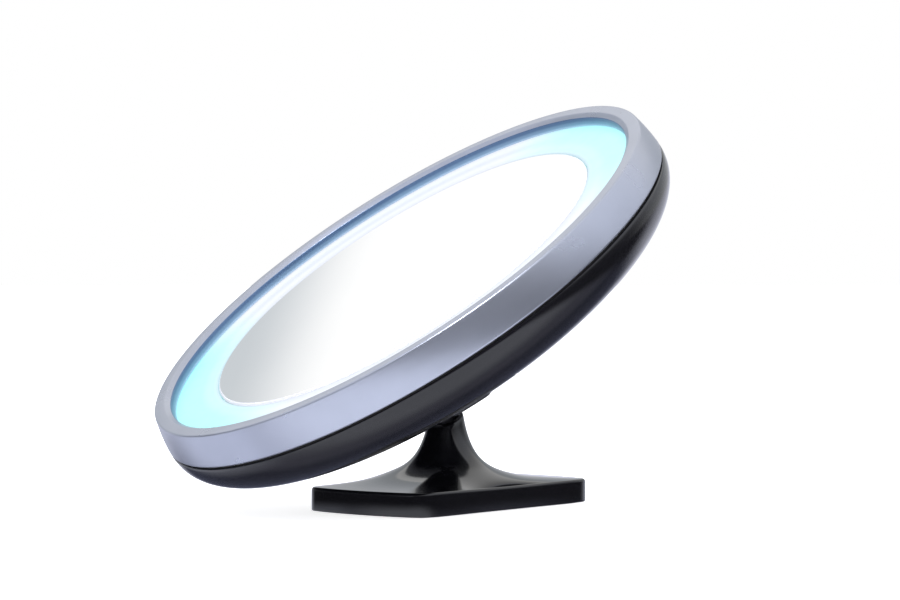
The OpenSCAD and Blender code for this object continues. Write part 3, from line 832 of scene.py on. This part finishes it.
def lid(side, name, body, replaced):
    """A lid that continues the dome, with a rolled edge and raised grip bars near its outer end."""
    bm = bmesh.new()
    turn = bay_turn(side)
    rolled = ((0.0, 0.55), (0.05, 0.3), (0.17, 0.12), (0.36, 0.03), (0.6, 0.0))
    outer = [lid_ring(bm, turn, inset, drop) for inset, drop in rolled]
    outer += [lid_ring(bm, turn, inset, 0.0)
              for inset in (1.2, 2.2, 3.6, 5.2, 7.0, 8.8, 10.6, 12.4, 14.2, 16.0, 17.3)]
    inner = [lid_ring(bm, turn, inset, 0.0, WALL) for inset in (0.0, 2.0, 9.0, 17.3)]
    join_rings(bm, outer[::-1] + inner)
    cap(bm, outer[-1])
    cap(bm, inner[-1], True)
    for k in range(GRIP_BARS):
        grip_bar(bm, turn, DOOR_MID + GRIP_FROM + GRIP_PITCH * k)
    piece(finish_mesh(bm, name, HEAD, 50), body, GLOSS, "gloss_black", replaced)


# ---------------------------------------------------------------- switch knob
def slider():
    """A small knob with ribs across it and eased edges. Its two ends are tucked in a little."""
    bm = bmesh.new()
    ease = 0.35
    profile = [(-KNOB_HALF, KNOB_FOOT_D), (-KNOB_HALF, KNOB_TOP_D - ease), (ease - KNOB_HALF, KNOB_TOP_D)]
    for mid in RIBS:
        profile += [(mid + x, KNOB_TOP_D + rise) for x, rise in
                    ((-0.32, 0.0), (-0.16, 0.42), (0.16, 0.42), (0.32, 0.0))]
    profile += [(KNOB_HALF - ease, KNOB_TOP_D), (KNOB_HALF, KNOB_TOP_D - ease), (KNOB_HALF, KNOB_FOOT_D)]
    rows = []
    for y, tuck in ((-KNOB_HALF, 0.18), (-1.85, 0.0), (1.85, 0.0), (KNOB_HALF, 0.18)):
        row = []
        for x, d in profile:
            low = tuck if d > KNOB_FOOT_D else 0.0
            row.append(bm.verts.new((KNOB_X + x * (1 - tuck / 2), SWITCH_Y + y, low - d)))
        rows.append(row)
    join_rings(bm, rows)
    bm.faces.new(rows[0])
    bm.faces.new(rows[-1][::-1])
    piece(finish_mesh(bm, "ridged_slider", HEAD), "switch", KNOB, "silver_plastic", "switch_knob")


base_moulding()
foot_pad()
silver_ring()
light_ring()
round_glass()
domed_back()
lid(1, "right_lid", "door_right", "battery_door_right")
lid(-1, "left_lid", "door_left", "battery_door_left")
slider()

# ---------------------------------------------------------------- carried-over CAD nodes
SKINS = {
    "bottom_cover": MATTE, "base_screws": STEEL, "ballast_plate": BALLAST, "stem_bushing": ACETAL,
    "swivel_post": BLACK_STEEL, "post_washers": STEEL, "post_nut": STEEL, "hinge_bracket": STEEL,
    "hinge_pin": STEEL, "pin_nut": STEEL, "hinge_washers": ACETAL, "bracket_screws": STEEL,
    "chassis": WHITE, "led_board": BOARD, "led_chips": CHIPS, "foam_pad": FOAM,
    "seam_gasket": RUBBER, "shell_screws": BLACK_STEEL, "driver_board": GREEN, "wire_pair": WIRE,
    "switch_body": MATTE, "battery_tray_right": MATTE, "battery_tray_left": MATTE,
    "cell_1": JACKET, "cell_2": JACKET, "cell_3": JACKET, "cell_4": JACKET,
    "contact_springs": CONTACT, "contact_tabs": CONTACT,
}
for name, skin in SKINS.items():
    mesh = nodes[name].data
    mesh.materials.clear()
    mesh.materials.append(skin)

# ---------------------------------------------------------------- camera
AZIMUTH = math.radians(39.0)
PITCH = math.radians(0.82)
DISTANCE = 1110.07      # in millimetres, as are the next three
AIM_RIGHT = 1.39
AIM_UP = 16.82
AIM_Z = 56.9
FOCAL = 124.68

right = Vector((math.cos(AZIMUTH), math.sin(AZIMUTH), 0))
ahead = Vector((-math.sin(AZIMUTH) * math.cos(PITCH), math.cos(AZIMUTH) * math.cos(PITCH), -math.sin(PITCH)))
up = right.cross(ahead)
cam = bpy.data.cameras.new("camera")
cam.sensor_width = 36.0
cam.lens = FOCAL
cam.clip_start, cam.clip_end = 0.05, 50.0
eye = bpy.data.objects.new("camera", cam)
scene.collection.objects.link(eye)
spot = Vector((0, 0, AIM_Z)) + right * AIM_RIGHT + up * AIM_UP - ahead * DISTANCE
eye.matrix_world = Matrix.Translation(spot * MM) @ Matrix((right, up, -ahead)).transposed().to_4x4()
scene.camera = eye


# ---------------------------------------------------------------- floor, in metres
def studio_floor():
    """A wide pale disc that glows a little, and that nothing glossy reflects."""
    bm = bmesh.new()
    rings = [[bm.verts.new((0, 0, 0))]]
    rings += [[bm.verts.new((r * math.cos(a), r * math.sin(a), 0)) for a in circle(96)]
              for r in (0.5, 2.0, 8.0)]
    join_rings(bm, rings)
    floor = finish_mesh(bm, "studio_floor", PLAIN)
    for f in floor.data.polygons:
        if f.normal.z < 0:
            f.flip()
    skin, _, _ = principled("pale_floor", Base_Color=(0.90, 0.90, 0.90, 1), Roughness=0.9,
                            Specular_IOR_Level=0.0, Emission_Color=(1, 1, 1, 1), Emission_Strength=0.80)
    floor.data.materials.append(skin)
    floor.visible_glossy = False


# ---------------------------------------------------------------- studio surround and lights
level = Vector((ahead.x, ahead.y, 0)).normalized()


def reflected_sky(t):
    """The studio that glossy faces reflect: pale and dark zones by direction, which blend smoothly."""
    way = t.add("ShaderNodeTexCoord").outputs["Generated"]
    back = t.dot(way, level)
    height = t.dot(way, (0, 0, 1))
    side = t.dot(way, right)

    # above the horizon: a grey wall with a bright ceiling beyond the object, and dark low on the near side
    beyond = t.ramp(height, [
        (0.0, (0.72, 0.73, 0.76)),
        (0.30, (0.56, 0.59, 0.63)),
        (0.389, (0.61, 0.645, 0.675)),
        (0.4165, (1.06, 1.06, 1.06)),
        (1.0, (1.0, 1.0, 1.0)),
    ])
    near = t.ramp(height, [
        (0.0, (0.08, 0.08, 0.09)),
        (0.32, (0.14, 0.14, 0.15)),
        (0.62, (1.20, 1.22, 1.28)),
        (0.84, (1.20, 1.22, 1.28)),
        (1.0, (1.0, 1.0, 1.0)),
    ])
    upper = t.mix(t.step(back, 0.15, 0.60), near, beyond)
    right_wing = t.both(t.step(side, 0.55, 0.95), t.step(height, 0.14, 0.50))
    upper = t.mix(right_wing, upper, (1.12, 1.16, 1.26))
    left_top = t.both(t.step(side, -0.30, -0.65), t.step(height, 0.06, 0.16))
    upper = t.mix(t.both(left_top, t.step(back, 0.45, 0.10)), upper, (0.85, 0.88, 0.96))

    # at the horizon: pale beyond the object, dark elsewhere
    horizon = t.mix(t.step(back, 0.45, 0.80), (0.05, 0.05, 0.06), (0.84, 0.86, 1.00))

    # below the horizon: bright on the near side, dark beyond, and bright again at the left
    lower = t.ramp(t.math("MULTIPLY_ADD", back, 0.5, 0.5), [
        (0.0, (1.30, 1.34, 1.50)),
        (0.25, (1.30, 1.34, 1.50)),
        (0.55, (0.42, 0.43, 0.55)),
        (0.75, (0.11, 0.12, 0.18)),
    ])
    left_wing = t.both(t.step(side, -0.40, -0.78), t.step(back, -0.2, 0.1))
    lower = t.mix(left_wing, lower, (0.98, 1.02, 1.20))

    sky = t.mix(t.step(t.math("MULTIPLY", height, -1.0), 0.12, 0.31), horizon, lower)
    return t.mix(t.step(height, 0.02, 0.14), sky, upper)


def studio_world():
    """Plain white where the camera looks past the object, and the studio for all other light."""
    world = bpy.data.worlds.new("studio")
    scene.world = world
    world.use_nodes = True
    t = Nodes(world.node_tree)
    out = t.add("ShaderNodeOutputWorld")
    seen = t.add("ShaderNodeBackground")
    seen.inputs["Color"].default_value = (1, 1, 1, 1)
    lit = t.add("ShaderNodeBackground")
    t.link(reflected_sky(t), lit.inputs["Color"])
    pick = t.add("ShaderNodeMixShader")
    t.link(t.add("ShaderNodeLightPath").outputs["Is Camera Ray"], pick.inputs[0])
    t.link(lit.outputs[0], pick.inputs[1])
    t.link(seen.outputs[0], pick.inputs[2])
    t.link(pick.outputs[0], out.inputs["Surface"])


def area(name, offset, size, power, colour, glossy=False):
    """A rectangular light at an offset in metres from the middle of the head, aimed at it."""
    middle = Vector((0, 0, 0.09))
    place = middle + offset
    data = bpy.data.lights.new(name, "AREA")
    data.shape, data.size, data.size_y = "RECTANGLE", size[0], size[1]
    data.energy, data.color = power, colour
    obj = bpy.data.objects.new(name, data)
    scene.collection.objects.link(obj)
    obj.location = place
    obj.rotation_mode = "QUATERNION"
    obj.rotation_quaternion = (middle - place).to_track_quat("-Z", "Y")
    obj.visible_glossy = glossy


studio_floor()
studio_world()
area("key", -right * 0.35 - level * 0.75 + Vector((0, 0, 0.95)), (0.45, 0.45), 9.0, (0.97, 0.98, 1.0),
     glossy=True)
area("fill", right * 0.15 - level * 1.2 + Vector((0, 0, -0.02)), (0.9, 0.5), 9.0, (0.93, 0.96, 1.08))
area("top", Vector((0, 0, 1.3)), (1.2, 1.2), 8.0, (1, 1, 1))

scene.view_settings.view_transform = "Standard"
scene.view_settings.look = "None"
scene.view_settings.exposure = 0.0
scene.view_settings.gamma = 1.0

bpy.context.view_layer.update()
